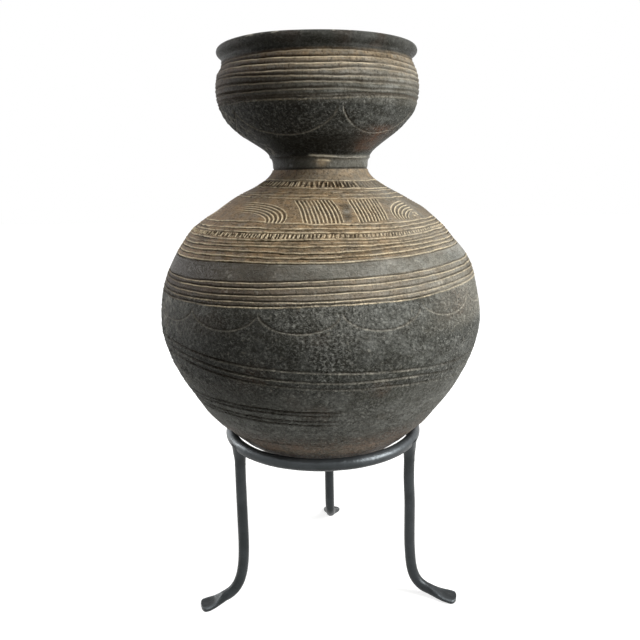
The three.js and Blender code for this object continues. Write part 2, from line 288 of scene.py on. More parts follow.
def forged_leg(side, seed):
    """A circle carried down the bar's line, then cut off above and below by planes that close in
    on it, while it spreads sideways: what is left is flat on top, with ridges along its sides. The
    bar wavers a little, and may bow outwards above its knee."""
    shank = np.stack([np.zeros(60), np.linspace(RING_HEIGHT - 4, KNEE_HEIGHT, 60)], -1)[:-1]
    bend = (0.16 * HEEL_REACH, HEEL_HEIGHT + 0.07 * KNEE_HEIGHT)
    knee = bezier((0, KNEE_HEIGHT), (0, 0.45 * KNEE_HEIGHT), bend, (HEEL_REACH, HEEL_HEIGHT), 70)
    length = TOE_REACH[side] - HEEL_REACH
    share = np.linspace(0, 1, 76)[1:, None]
    drop = (HEEL_HEIGHT - TOE_THICKNESS / 2) * (1 - (1 - share) ** 2)
    foot = np.hstack([HEEL_REACH + share * length, HEEL_HEIGHT - drop])
    path = np.vstack([shank, knee, foot])
    along = np.gradient(path, axis=0)
    along /= np.linalg.norm(along, axis=1)[:, None]

    run = np.concatenate([[0], np.cumsum(np.linalg.norm(np.diff(path, axis=0), axis=1))])
    to_end = (run[-1] - run) / length
    flat = 1 - smooth(to_end, 0.25, 1.15)
    facet = 1 - smooth(to_end, 0.35, 1.3)
    bar, half_toe = LEG_BAR / 2, TOE_THICKNESS / 2
    rounded = np.sqrt(np.clip(1 - np.clip(1 - to_end / 0.22, 0, 1) ** 3, 0.1, 1))
    width = (bar + (TOE_WIDTH / 2 - bar) * flat) * rounded
    thick = bar * (1 - 0.3 * facet)
    above = bar + (half_toe - bar) * facet
    below = bar + (half_toe - bar) * flat

    section = np.radians(full_turn(LEG_SIDES))
    across = width[:, None] * np.cos(section)
    raw = thick[:, None] * np.sin(section)
    up = np.clip(raw, -below[:, None], above[:, None])
    outward, sideways, upward = directions(LEG_AZIMUTHS[side] + FOOT_TURN[side])
    rings = (
        RING_RADIUS * directions(LEG_AZIMUTHS[side])[0]
        + (path[:, 0, None] - up * along[:, 1, None])[..., None] * outward
        + across[..., None] * sideways
        + (path[:, 1, None] + up * along[:, 0, None])[..., None] * upward
    )
    hammered = 0.22 * noise(rings, 8, seed) + 0.12 * noise(rings, 3.5, seed + 1)
    rings[..., 2] += hammered * flat[:, None]
    waver = np.stack([noise(rings, 70, seed + 2), noise(rings, 70, seed + 3), 0 * across], -1)
    rings = rings + 0.45 * waver * window(rings[..., 2:], 40, 150, 30)
    rings = rings + LEG_BOW[side] * window(rings[..., 2:], 55, 110, 40) * outward
    rings[..., 2] = np.maximum(rings[..., 2], 0.0)
    return rings, ridge(raw, above[:, None], 0.8) * flat[:, None]


for leg_seed, side in enumerate(LEG_AZIMUTHS):
    rings, edge = forged_leg(side, 920 + 10 * leg_seed)
    surface = skin(rings, close_start=True, close_end=True)
    make_piece(f"forged_leg_{side}", surface, "stand", f"leg_{side}", IRON, {"wear_and_highlight": 0.6 * edge})

# The fillet welds: iron run in round the top of each leg, webbed out along both sides of the ring
# and ground smooth, so that leg and ring flow into each other.

WELD_DROP = 17.0
WELD_SPREAD = 10.0


def fillet_weld(azimuth, seed):
    """An oval carried up the leg that widens along the ring by the power 2.4 of its height."""
    level = np.linspace(0, 1, 34)
    height = RING_HEIGHT - RING_BAR / 2 - WELD_DROP + (WELD_DROP + 0.55 * RING_BAR) * level
    along = LEG_BAR / 2 + 0.1 + WELD_SPREAD * level ** 2.4
    radial = LEG_BAR / 2 + 0.1 + 1.3 * smooth(level, 0.15, 0.9)
    section = np.radians(full_turn(LEG_SIDES))
    outward, sideways, upward = directions(azimuth)
    aside = along[:, None] * np.cos(section)
    out = radial[:, None] * np.sin(section) - aside ** 2 / (2 * RING_RADIUS)
    rings = (RING_RADIUS + out)[..., None] * outward + aside[..., None] * sideways
    rings = rings + (height[:, None] + 0 * section)[..., None] * upward
    return rings + 0.25 * noise(rings, 5, seed)[..., None] * outward


for weld_seed, (side, azimuth) in enumerate(LEG_AZIMUTHS.items()):
    web = fillet_weld(azimuth, 960 + 10 * weld_seed)
    surface = skin(web[::-1], close_start=True, close_end=True)
    make_piece(f"fillet_weld_{side}", surface, "stand", f"weld_{side}", IRON)

# The jar's base: a round bowl of coarse clay, beaten out over a mould and smoke-blackened in the
# fire. Groups of lines are scored round it with a point, by hand and not quite level.

JAR_BOTTOM = 148.5
BELLY = (174.5, JAR_BOTTOM + 177)
THROAT = (50.3, JAR_BOTTOM + 338.3)
CUP = (105.8, JAR_BOTTOM + 417.3)
LIP_NECK = (98.6, JAR_BOTTOM + 445.6)
WALL = 8.0
BASE_WALL = 11.0

# What can lie on the clay or be done to it, each a share from 0 to 1 at every point. Soot also
# carries painted shade, chalk also painted highlights and sheen, and crest and cut also paint the
# lit and the shaded walls of cuts.
MARKS = ("ochre", "crest", "cut", "soot_and_shade", "rust", "burnish", "pebble", "chalk_and_highlight")

# How far the wall's middle stands to the right, and the wall outside the true round, by height
HAND_HEIGHTS = (208, 228, 250, 300, 325, 385, 430, 465, 488, 502, 525, 558, 606)
LEAN = (0.0, -1.4, 0.3, -0.3, -0.4, -1.1, -1.3, 0.8, 1.8, 1.4, 0.5, -0.3, -0.3)
SWELL = (0.0, 0.0, -0.4, 0.1, 0.5, -1.0, 0.7, -0.6, 0.7, -0.5, 0.4, 0.5, 0.0)

# The clay's unevenness, from clouds of smoke down to sand: size in mm, detail and roughness
CLAY_NOISES = ((60, 5.0, 0.6), (11, 5.0, 0.65), (2.6, 4.0, 0.65), (0.9, 2.0, 0.5))
GRAIN_SIZE = 2.9


def smoked_earthenware():
    """Low-fired clay, blackened in smoke and rubbed: matt grey-black and grainy, worn to lighter grey
    on its grains, polished where it was burnished, with ochre dust left in and along the cuts. Its
    coats of colour lie one over another, each as far as its share from 0 to 1 says. Some coats are
    painted light and shade: the soot coat is partly painted shade, the pale grain tops and the chalk
    coat are partly painted glints and sheen, and the crest and cut coats are partly painted
    highlight and painted shade on the walls of the cuts."""
    material, tree = new_tree("smoked_earthenware")
    place = add_node(tree, "ShaderNodeTexCoord", out="Object")
    mark = {m: add_node(tree, "ShaderNodeAttribute", out="Fac", attribute_name=m) for m in MARKS}
    cloud, blotch, grit, sand = (
        add_node(
            tree,
            "ShaderNodeTexNoise",
            {"Vector": place, "Scale": 1 / (size * MM), "Detail": detail, "Roughness": roughness},
        )
        for size, detail, roughness in CLAY_NOISES
    )
    grain = add_node(
        tree,
        "ShaderNodeTexVoronoi",
        {"Vector": place, "Scale": 1 / (GRAIN_SIZE * MM)},
        feature="SMOOTH_F1",
    )

    level = add_node(tree, "ShaderNodeMapping", {"Vector": place, "Scale": (1, 1, 1.9)})
    smear = add_node(
        tree,
        "ShaderNodeTexNoise",
        {"Vector": level, "Scale": 1 / (17 * MM), "Detail": 5.0, "Roughness": 0.7},
    )
    wrinkle = add_node(
        tree,
        "ShaderNodeTexNoise",
        {"Vector": level, "Scale": 1 / (6.5 * MM), "Detail": 3.0, "Distortion": 0.6},
    )
    fold = add_node(tree, "ShaderNodeMath", {0: wrinkle, 1: 0.5}, operation="SUBTRACT")
    fold = add_node(tree, "ShaderNodeMath", {0: fold}, operation="ABSOLUTE")
    fold = add_node(tree, "ShaderNodeMapRange", {0: fold, 2: 0.035, 3: 1.0, 4: 0.0})
    fold = add_node(tree, "ShaderNodeMath", {0: fold, 1: mark["pebble"]}, operation="MULTIPLY")

    patchy = add_node(tree, "ShaderNodeMapRange", {0: blotch, 1: 0.38, 2: 0.62, 3: 1.0, 4: 0.38})
    broken = add_node(tree, "ShaderNodeMapRange", {0: grit, 1: 0.34, 2: 0.5, 3: 0.62, 4: 1.0})
    rubbed = add_node(tree, "ShaderNodeMapRange", {0: grit, 1: 0.52, 2: 0.66, 4: 0.85})
    held = {
        "ochre": patchy,
        "rust": patchy,
        "soot_and_shade": 0.92,
        "crest": broken,
        "chalk_and_highlight": broken,
        "pebble": rubbed,
    }
    share = {
        key: add_node(tree, "ShaderNodeMath", {0: mark[key], 1: by}, operation="MULTIPLY")
        for key, by in held.items()
    }
    clouded = add_node(
        tree, "ShaderNodeMapRange", {0: cloud, 1: 0.38, 2: 0.64}, interpolation_type="SMOOTHSTEP"
    )
    smeared = add_node(tree, "ShaderNodeMapRange", {0: smear, 1: 0.42, 2: 0.62, 4: 0.85})
    grime = add_node(tree, "ShaderNodeMapRange", {0: mark["burnish"], 3: 0.75, 4: 0.3})
    in_pores = add_node(tree, "ShaderNodeMapRange", {0: grit, 1: 0.47, 2: 0.34, 4: grime})
    dirt = add_node(
        tree,
        "ShaderNodeMix",
        {0: mark["ochre"], 6: linear("#161613"), 7: linear("#30210f")},
        2,
        data_type="RGBA",
    )
    # Wear and painted glints: the tops of the grain and of the wormy folds are painted pale grey.
    worn_tops_and_glints = add_node(
        tree, "ShaderNodeMath", {0: fold, 1: 0.95, 2: share["pebble"]}, operation="MULTIPLY_ADD"
    )

    colour = linear("#3b3c36")
    coats = [
        (clouded, linear("#696a65")),
        (smeared, linear("#24231b")),
        (share["ochre"], linear("#8b7658")),
        (share["rust"], linear("#634532")),
        (in_pores, dirt),
        # Soot, partly painted shade.
        (share["soot_and_shade"], linear("#15130e")),
        # Pale worn tops, partly painted glints.
        (worn_tops_and_glints, linear("#8b8b84")),
        # Ochre crests and dark cuts, partly painted highlight and painted shade on the walls of the cuts.
        (share["crest"], linear("#dfceac")),
        (mark["cut"], linear("#271c0e")),
        # Chalky dust, partly painted highlights and sheen.
        (share["chalk_and_highlight"], linear("#aba698")),
    ]
    for how_far, coat in coats:
        colour = add_node(tree, "ShaderNodeMix", {0: how_far, 6: colour, 7: coat}, 2, data_type="RGBA")

    rough = add_node(tree, "ShaderNodeMapRange", {0: grit, 1: 0.3, 2: 0.7, 3: 0.5, 4: 0.64})
    rough = add_node(
        tree, "ShaderNodeMath", {0: mark["burnish"], 1: -0.2, 2: rough}, operation="MULTIPLY_ADD"
    )
    height = add_node(tree, "ShaderNodeMath", {0: grain, 1: -0.9, 2: grit}, operation="MULTIPLY_ADD")
    height = add_node(
        tree, "ShaderNodeMath", {0: height, 1: mark["pebble"], 2: fold}, operation="MULTIPLY_ADD"
    )
    height = add_node(tree, "ShaderNodeMath", {0: grit, 1: 0.2, 2: height}, operation="MULTIPLY_ADD")
    height = add_node(tree, "ShaderNodeMath", {0: sand, 1: 0.1, 2: height}, operation="MULTIPLY_ADD")
    relief = add_node(tree, "ShaderNodeBump", {"Height": height, "Strength": 1.0, "Distance": 2.8 * MM})
    gloss = add_node(tree, "ShaderNodeMapRange", {0: mark["soot_and_shade"], 3: 0.1, 4: 0.05})
    shader = add_node(
        tree,
        "ShaderNodeBsdfPrincipled",
        {"Base Color": colour, "Roughness": rough, "Normal": relief, "Specular IOR Level": gloss},
    )
    add_node(tree, "ShaderNodeOutputMaterial", {"Surface": shader})
    return material


def jar_outline():
    """The outside from the pole to the lip's neck: four Bezier spans that meet upright."""
    base_rise = BELLY[1] - JAR_BOTTOM
    rise = THROAT[1] - BELLY[1]
    cup_rise = CUP[1] - THROAT[1]
    lip_rise = LIP_NECK[1] - CUP[1]
    spans = [
        ((0, JAR_BOTTOM), (0.52 * BELLY[0], JAR_BOTTOM), (BELLY[0], BELLY[1] - 0.35 * base_rise), BELLY),
        (BELLY, (BELLY[0], BELLY[1] + 0.765 * rise), (THROAT[0], THROAT[1] - 0.19 * rise), THROAT),
        (THROAT, (THROAT[0], THROAT[1] + 0.35 * cup_rise), (CUP[0], CUP[1] - 0.68 * cup_rise), CUP),
        (CUP, (CUP[0], CUP[1] + 0.54 * lip_rise), (LIP_NECK[0], LIP_NECK[1] - 0.24 * lip_rise), LIP_NECK),
    ]
    return np.vstack([bezier(*span, 400)[(1 if i else 0):] for i, span in enumerate(spans)])


OUTLINE = jar_outline()
OUTLINE_RUN = np.concatenate([[0], np.cumsum(np.linalg.norm(np.diff(OUTLINE, axis=0), axis=1))])


def run_at(height):
    """How far along the outline, from the pole, a height is."""
    return np.interp(height, OUTLINE[:, 1], OUTLINE_RUN)


def outline_at(run):
    """Radius, height and outward direction of the outline at distances along it."""
    radius, height = (np.interp(run, OUTLINE_RUN, OUTLINE[:, i]) for i in (0, 1))
    ahead, behind = (
        np.stack([np.interp(run + step, OUTLINE_RUN, OUTLINE[:, i]) for i in (0, 1)]) for step in (0.4, -0.4)
    )
    along = (ahead - behind) / (np.linalg.norm(ahead - behind, axis=0) + 1e-9)
    return radius, height, along[1], -along[0]


def turn_apart(azimuth, centre):
    """The signed angle from centre to azimuth, within half a turn."""
    return (azimuth - centre + 180) % 360 - 180


# The body's lines and the burnished band above them: each edge's height in front, and how much
# higher it lies at the right
LINES_FOOT = (366.4, 5.0)
BAND_FOOT = (387.4, 5.2)
BAND_TOP = (403.2, 3.0)

# Where the notched neck ends, the collar begins and the lip begins
NOTCHES_TOP = 473.0
COLLAR_FOOT = 483.0
LIP_FOOT = 589.0


class Patch:
    """A grid on the jar's outside: where it is, the outward and upward parts of the way it faces, how
    far the worked clay stands off the true form, and the marks on it. Left and right are 1 at the
    sides and 0 in front and behind. Patchy and clouds are slow noise from 0 to 1."""

    def __init__(self, run, columns):
        azimuth = full_turn(columns) - 180
        self.run, self.azimuth = np.meshgrid(run, azimuth, indexing="ij")
        self.radius, self.height, self.out, self.up = outline_at(self.run)
        self.spot = ring_point(self.azimuth, self.radius, self.height)
        self.lift = np.zeros_like(self.run)
        self.marks = {key: np.zeros_like(self.run) for key in MARKS}
        self.left = smooth(-self.azimuth, -10, 65) * (1 - smooth(-self.azimuth, 125, 170))
        self.right = smooth(self.azimuth, 10, 60) * (1 - smooth(self.azimuth, 125, 170))
        self.patchy = noise(self.spot, 28, 501) * 0.5 + 0.5
        self.clouds = noise(self.spot, 75, 502) * 0.5 + 0.5

    def bands(self):
        """1 in the body's lines, in the burnished band, and from there up to the neck's notches."""
        z = self.height
        tilt = np.sin(np.radians(self.azimuth))
        edges = (LINES_FOOT, BAND_FOOT, BAND_TOP)
        lines_foot, band_foot, band_top = (front + rise * tilt for front, rise in edges)
        in_lines = smooth(z, lines_foot - 1, lines_foot + 1) * (1 - smooth(z, band_foot, band_foot + 2))
        in_band = smooth(z, band_foot, band_foot + 2) * (1 - smooth(z, band_top - 1, band_top))
        notched = 1 - smooth(z, NOTCHES_TOP, NOTCHES_TOP + 2.5)
        above_band = smooth(z, band_top - 1, band_top + 1) * notched
        return in_lines, in_band, above_band

    def aside(self, centre):
        """Millimetres round the jar from an azimuth."""
        return self.radius * np.radians(turn_apart(self.azimuth, centre))

    def near(self, low, high):
        """Whether any of the patch lies between two heights."""
        return self.height.max() > low and self.height.min() < high


def hand_line(heights, azimuth, seed):
    """The height of a line drawn round by hand: through its heights at -60, -30, 0, 30 and 60
    degrees, evenly round the back, by a smooth cubic, and wavering a little."""
    back = (heights[0] + heights[-1]) / 2
    at = np.array([*heights, (2 * heights[-1] + back) / 3, back, (2 * heights[0] + back) / 3])
    position = np.interp((azimuth + 60) % 360, (0, 30, 60, 90, 120, 180, 240, 300, 360), np.arange(9))
    i = np.floor(position).astype(int) % 8
    t = position - np.floor(position)
    p, q, r, s = at[i - 1], at[i], at[(i + 1) % 8], at[(i + 2) % 8]
    curve = q + 0.5 * t * (r - p + t * (2 * p - 5 * q + 4 * r - s + t * (3 * (q - r) + s - p)))
    spot = ring_point(azimuth, 1.0, 0.37)
    return curve + 0.36 * noise(spot, 0.16, seed) + 0.28 * noise(spot, 0.055, seed + 50)


def incise(patch, distance, depth, width, strength, crest, bright_side, dust="crest", shade=1.0):
    """A cut shaped like a bell curve, with the clay it pushed up along both edges. Ochre or chalky
    dust has stayed on the edge on its bright side, painted pale there also as a painted highlight,
    and the cut is painted dark towards its other edge, partly as painted shade."""
    cut = ridge(distance, 0, width)
    bright = ridge(distance, bright_side * 1.75 * width, width)
    other = ridge(distance, -bright_side * 1.75 * width, width)
    patch.lift += strength * depth * (0.4 * bright + 0.22 * other - cut)
    dark = shade * strength * min(1.0, depth)
    # Painted shade in the cut, and below a painted highlight with the dust on its bright edge.
    patch.marks["cut"] += dark * ridge(distance, -0.2 * bright_side * width, 0.95 * width)
    patch.marks[dust] += strength * crest * ridge(distance, bright_side * 1.6 * width, 0.75 * width)


def incise_rounds(patch, lines, seed, width, bright_side, strength=1.0, dust="crest", shade=1.0, hold=1.0):
    """Lines right round the jar, each given as the heights of its bright edge, its depth and how
    much dust and painted highlight it holds where the clay holds it fully."""
    azimuth = patch.azimuth[0]
    for i, (heights, depth, crest) in enumerate(lines):
        middle = run_at(hand_line(heights, azimuth, seed + 7 * i)) - bright_side * 1.6 * width
        distance = patch.run - middle
        if np.abs(distance).min() > 6 * width:
            continue
        uneven = np.clip(0.9 + 0.35 * noise(patch.spot, 20, seed + 7 * i + 3), 0.3, 1.3)
        rubbed = np.clip(0.95 + 0.5 * noise(patch.spot, 9, seed + 7 * i + 4), 0.4, 1.2)
        held = crest * rubbed * hold
        incise(patch, distance, depth, width, uneven * strength, held, bright_side, dust, shade)


# Lines right round: their heights at -60, -30, 0, 30 and 60 degrees, their depth and their dust and painted
# highlight
BELLY_LINES = [
    ((318.2, 311.2, 306.1, 301.2, 297.0), 1.1, 0.5),
    ((310.3, 302.2, 295.9, 293.6, 286.5), 1.2, 0.5),
    ((303.3, 295.6, 289.0, 285.6, 277.5), 0.9, 0.3),
]
FOOT_LINES = [
    ((263.0, 264.2, 261.6, 258.0, 260.0), 1.3, 0.0),
    ((258.0, 260.2, 257.2, 253.0, 255.0), 1.3, 0.0),
    ((252.5, 252.0, 250.4, 247.0, 249.5), 1.4, 0.0),
    ((247.0, 247.8, 245.6, 241.0, 243.5), 1.3, 0.0),
]
FAINT_LINE = [((215.0, 216.5, 216.0, 217.0, 216.0), 0.9, 0.0)]


def score_base(patch):
    """The lines low on the jar. The upper three are deeper at the left and painted darker there,
    partly as painted shade, and dusty in front, and those nearer the ring are worn away except in
    front and at the left."""
    turn = patch.azimuth
    if patch.near(270, 325):
        # Partly painted shade: the cuts' dark grows towards the left, away from the light.
        deep = smooth(-turn, 0, 35)
        hold = window(turn, -22, 26, 14) + 0.25
        incise_rounds(patch, BELLY_LINES, 351, 0.85, -1, 1 + 0.7 * deep, "chalk_and_highlight", 0.45 + 0.5 * deep, hold)
    if patch.near(235, 275):
        incise_rounds(patch, FOOT_LINES, 381, 0.95, -1, 0.25 + 1.1 * window(turn, -55, -2, 12))
    if patch.near(200, 230):
        incise_rounds(patch, FAINT_LINE, 391, 0.8, -1, 0.15 + 0.6 * window(turn, -30, 0, 15))


def rub_in_ochre(patch):
    """Ochre dust over the cup's lines, the neck, the shoulder and, thinner, the body's lines. It lies
    in patches, and has been wiped off again in dark level streaks. The burnished band and the body's
    lines are also painted darker towards the left, as painted shade."""
    z, turn, spot, marks = patch.height, patch.azimuth, patch.spot, patch.marks
    left, right, patchy = patch.left, patch.right, patch.patchy
    in_lines, in_band, above_band = patch.bands()
    cup = smooth(z, 552, 588) * (1 - smooth(z, LIP_FOOT + 1, LIP_FOOT + 4))
    cup *= (0.55 + 0.35 * patchy) * (1 - 0.8 * left - 0.3 * right)
    neck = window(z, NOTCHES_TOP, COLLAR_FOOT, 1.5) * (0.9 + 0.35 * patchy)
    shoulder = above_band * (0.75 + 0.35 * patchy) * (1 + 0.15 * left - 0.6 * right)
    lines = in_lines * (0.3 + 0.3 * patchy) * (1 - 0.5 * left - 0.5 * right)
    marks["ochre"] += cup + neck + shoulder + lines

    wiped = 0.6 * noise(spot * (1, 1, 12), 14, 509) + 0.5 * noise(spot * (1, 1, 3), 3, 510)
    open_clay = (shoulder + 0.6 * in_lines) * (1 - 0.6 * window(z, 435, 455, 2))
    # Dark wiped streaks, and painted shade on the burnished band at the left; the next line adds painted
    # shade on the lines towards the left.
    marks["cut"] += 0.6 * smooth(wiped, 0.05, 0.55) * open_clay + 0.7 * in_band * left
    marks["cut"] += 0.2 * in_lines * (1 - smooth(turn, -25, 20))


def blacken(patch):
    """Soot, partly painted shade where the jar is turned from the light: on the lip; low on the cup
    and under it, darkest towards the front left; up the cup's left side; on the collar, mostly at
    its left; in clouds below the body's lines, with a band of painted shade at the front left; and
    on the polished lines and band at the left, as painted shade. At the far left it breaks into a
    speckle, whose pale flecks are painted glints."""
    z, turn, left, marks = patch.height, patch.azimuth, patch.left, patch.marks
    in_lines, in_band, _ = patch.bands()
    lip = smooth(z, LIP_FOOT, LIP_FOOT + 3) * 0.85
    # Partly painted shade: the cup's downward-facing bowl and its underside are darkest towards the front
    # left, away from the light.
    bowl = window(z, 500, 543, 8) * (0.25 + 0.6 * ridge(turn, -22, 50))
    cup_foot = window(z, 496, 514, 5) * 0.5 * (1 - smooth(turn, 15, 50))
    # Painted shade: the cup's left side, and a patch at its front left.
    cup_side = window(z, 500, 590, 5) * 0.55 * smooth(-turn, 0, 55)
    cup_side += window(z, 543, 566, 8) * 0.55 * ridge(turn, -30, 28)
    # Painted shade on the collar's left.
    collar = window(z, 485, 500, 2) * (0.12 + 0.8 * left) * (1 - ridge(turn, 2, 9))
    # Soot clouds, and a band of painted shade at the front left of the belly.
    belly = window(z, 278, 345, 24) * (0.3 * patch.clouds + 0.75 * ridge(turn, -33, 26))
    # Painted shade on the polished lines and band at the left.
    polished_and_shaded = (in_band * 1.1 + in_lines * 0.75) * left
    marks["soot_and_shade"] += lip + bowl + cup_foot + cup_side + collar + belly + polished_and_shaded

    # Painted glints: pale flecks at the far left, between specks of soot.
    speckle = noise(patch.spot, 4, 511)
    far_left = window(-turn, 68, 84, 26) * (window(z, 210, 362, 8) + window(z, 500, 545, 8))
    marks["soot_and_shade"] += 0.6 * smooth(speckle, 0.05, 0.4) * far_left
    marks["chalk_and_highlight"] += 0.34 * smooth(-speckle, 0.15, 0.5) * far_left


def redden(patch):
    """Where the fire left the clay red: on the cup, about the neck, under the ring, along the body's
    lines at the left, and in a few stains."""
    z, turn, left = patch.height, patch.azimuth, patch.left
    in_lines, in_band, _ = patch.bands()
    cup = ridge(turn, 48, 16) * window(z, 505, 520, 7) + window(z, 548, 590, 3) * 0.7 * left
    neck = window(z, 402, COLLAR_FOOT, 2) * (0.1 + 0.3 * left)
    foot = (1 - smooth(z, 200, 240)) * (0.4 + 0.8 * ridge(turn, 8, 50)) * (0.6 + 0.7 * patch.patchy)
    lines = (in_lines * 0.9 + in_band * 0.5) * (0.2 + 0.8 * left) * (1 - patch.right)
    stains = 0.25 * smooth(noise(patch.spot, 26, 507), 0.3, 0.75) * window(z, 210, 350, 15)
    stains += 0.6 * ridge(turn, -21, 4) * ridge(z, 300, 12) + 0.4 * ridge(turn, -38, 8) * ridge(z, 346, 9)
    stains += 0.25 * ridge(turn, 52, 9) * window(z, 346, 366, 5)
    patch.marks["rust"] += cup + neck + foot + lines + stains


def roughen_and_polish(patch):
    """Coarse and pebbly on the belly and low on the cup, and burnished on the lip, the band and the
    collar. Pale wear lies in flecks and veils, mostly towards the right, where the veils on the
    belly, the lines, the band and the collar are partly painted sheen on the lit side."""
    z, turn, spot, marks = patch.height, patch.azimuth, patch.spot, patch.marks
    left, right, clouds = patch.left, patch.right, patch.clouds
    in_lines, in_band, _ = patch.bands()
    marks["burnish"] += smooth(z, LIP_FOOT, LIP_FOOT + 3) + in_band + 0.8 * window(z, 486, 498, 2)
    coarse = window(z, 288, 364, 8) + window(z, 521, 545, 9) + 0.75 * window(z, 180, 288, 8)
    coarse *= 1 - 0.3 * smooth(turn, 0, 50) - 0.35 * smooth(turn, 45, 75)
    coarser = smooth(clouds + 0.3 * noise(spot, 22, 508), 0.25, 0.6)
    marks["pebble"] += coarse * (0.4 + 0.6 * coarser) + 0.12

    fleck = smooth(0.6 * noise(spot, 1.8, 505) + 0.4 * noise(spot, 7, 506), 0.5, 0.66)
    right_flank = smooth(turn, 25, 60) * (1 - smooth(turn, 125, 170))
    # Partly painted sheen: pale veils on the lit right flank of the belly.
    belly = window(z, 340, 368, 12) * (0.08 * clouds + 0.2 * right_flank) + window(z, 235, 280, 12) * 0.04
    cup = window(z, 545, 580, 4) * 0.1 * (1 - left)
    # Partly painted sheen: pale on the lines away from the left, and on the shoulder at the right.
    lines = (in_lines + window(z, NOTCHES_TOP, COLLAR_FOOT, 2)) * 0.2 * (1 - left)
    lines += window(z, 405, NOTCHES_TOP, 3) * 0.2 * right
    lines *= 1 - 0.7 * smooth(turn, 52, 78)
    # Partly painted highlights: pale mottling in the burnished band and on the collar, away from the left.
    band = in_band * (0.06 + 0.3 * patch.patchy) * (1 - 0.9 * left)
    collar = 0.16 * window(z, 486, 497, 1) * (1 - left)
    foot = 0.28 * ridge(z, 204, 16) * ridge(turn, 6, 42)
    marks["chalk_and_highlight"] += 0.3 * fleck * window(z, 288, 402, 8)
    marks["chalk_and_highlight"] += belly + cup + lines + band + collar + foot


# Where the wall bulges out or in at the sides, by azimuth: how far, at what height and how widely
SIDE_BULGES = {
    88: ((2.5, 384, 17), (-1.1, 411, 8), (1.0, 441, 6), (0.4, 456, 9), (-1.4, 519, 12), (-1.0, 531, 7)),
    -88: ((1.2, 421, 7), (-0.8, 442, 6), (1.3, 457, 10), (-1.5, 586, 4)),
}


def shape_by_hand(patch):
    """The wall as the hand left it: noise of 90 down to 2 mm, the finest only where the clay is coarse,
    and bell-shaped bulges at the sides."""
    spot = patch.spot
    swell = 0.3 * noise(spot, 90, 601) + 0.35 * noise(spot, 34, 602)
    patch.lift += smooth(patch.run, 20, 80) * swell + 0.14 * noise(spot, 11, 603)
    patch.lift += patch.marks["pebble"] * (0.42 * noise(spot, 3.6, 604) + 0.26 * noise(spot, 1.9, 605))
    for side, bulges in SIDE_BULGES.items():
        for out, height, reach in bulges:
            patch.lift += out * ridge(patch.height, height, reach) * ridge(patch.azimuth, side, 34)


def work_surface(patch):
    """What smoke, fire, handling and the maker's hands did to the clay all over. Marks are windows of
    height and azimuth times slow noise. The relief comes last, since it needs the coarse places."""
    for work in (rub_in_ochre, blacken, redden, roughen_and_polish, shape_by_hand):
        work(patch)


def sit_in_ring(patch):
    """The bowl is not quite round where the ring bears on it, and light shows past it in front."""
    turn = patch.azimuth
    slack = 1.0 * window(turn, -66, 62, 8) + 2.4 * ridge(turn, -47, 9) + 2.9 * ridge(turn, 42, 14)
    patch.lift -= window(patch.height, 174, 206, 12) * slack


def clay_wall(patch, closed_pole=False):
    """The patch as one section's closed wall: up its worked outside, across the joint, down its
    plain inside and across again. The inside lies a wall's thickness in, square to the outside."""
    grown = patch.radius + patch.lift * patch.out + np.interp(patch.height, HAND_HEIGHTS, SWELL)
    outside = ring_point(patch.azimuth, grown, patch.height + patch.lift * patch.up)
    outside[..., 0] += np.interp(patch.height, HAND_HEIGHTS, LEAN)

    top, bottom = patch.run[-1, 0], patch.run[0, 0]
    run = np.linspace(top, bottom, max(3, round((top - bottom) / 6) + 1))
    radius, height, out, up = (v[:, None] for v in outline_at(run))
    low = np.maximum(0, 1 - (height - JAR_BOTTOM) / (BELLY[1] - JAR_BOTTOM))
    thickness = WALL + (BASE_WALL - WALL) * low ** 2
    azimuth = patch.azimuth[:1]
    uneven = 0.5 * noise(ring_point(azimuth, radius, height), 45, 701) * np.clip(radius / 40, 0, 1)
    inner = np.maximum(radius - out * thickness + np.interp(height, HAND_HEIGHTS, SWELL), 0.5) + uneven
    inner_height = height - up * thickness
    inner_height[0] = height[0]
    if not closed_pole:
        inner_height[-1] = height[-1]
    inside = ring_point(azimuth, inner, inner_height)
    inside[..., 0] += np.interp(height, HAND_HEIGHTS, LEAN)

    unseen = {"soot_and_shade": 0.3, "rust": 0.2, "pebble": 0.35}
    marks = {
        key: np.vstack([np.clip(values, 0, 1), np.full(inside.shape[:2], unseen.get(key, 0.0))])
        for key, values in patch.marks.items()
    }
    grid = np.vstack([outside, inside])
    return skin(grid, not closed_pole, close_start=closed_pole, close_end=closed_pole), marks


def rows_between(*spans):
    """Distances along the outline for spans of (lower height, upper height, spacing), end to end."""
    rows = []
    for low, high, spacing in spans:
        start, stop = run_at(low), run_at(high)
        rows.append(np.linspace(start, stop, max(2, round((stop - start) / spacing) + 1)))
    return np.concatenate([row if i == 0 else row[1:] for i, row in enumerate(rows)])


EARTHENWARE = smoked_earthenware()


def make_section(name, patch, node, closed_pole=False):
    """One stretch of the jar from its finished patch."""
    surface, marks = clay_wall(patch, closed_pole)
    make_piece(name, surface, "jar", node, EARTHENWARE, marks)


# The bowl has wide rows where the ring hides it, and the flank above it has close ones
BASE_SPLIT = 262.0
RING_SHADOW = 186.0

hidden_rows, seen_rows = (JAR_BOTTOM + 0.02, RING_SHADOW, 2.6), (RING_SHADOW, BASE_SPLIT, 1.15)
bowl = Patch(rows_between(hidden_rows, seen_rows), 560)
score_base(bowl)
work_surface(bowl)
sit_in_ring(bowl)
make_section("rounded_bowl", bowl, "jar_base", closed_pole=True)

flank = Patch(rows_between((BASE_SPLIT, BELLY[1], 0.85)), 1080)
score_base(flank)
work_surface(flank)
make_section("lower_belly", flank, "jar_base")

# The shoulder: coil-built, drawn in to the neck, and the most worked part. From below it has hanging
# arcs, five long lines, a burnished band, close lines, notches, and panels drawn with a comb.

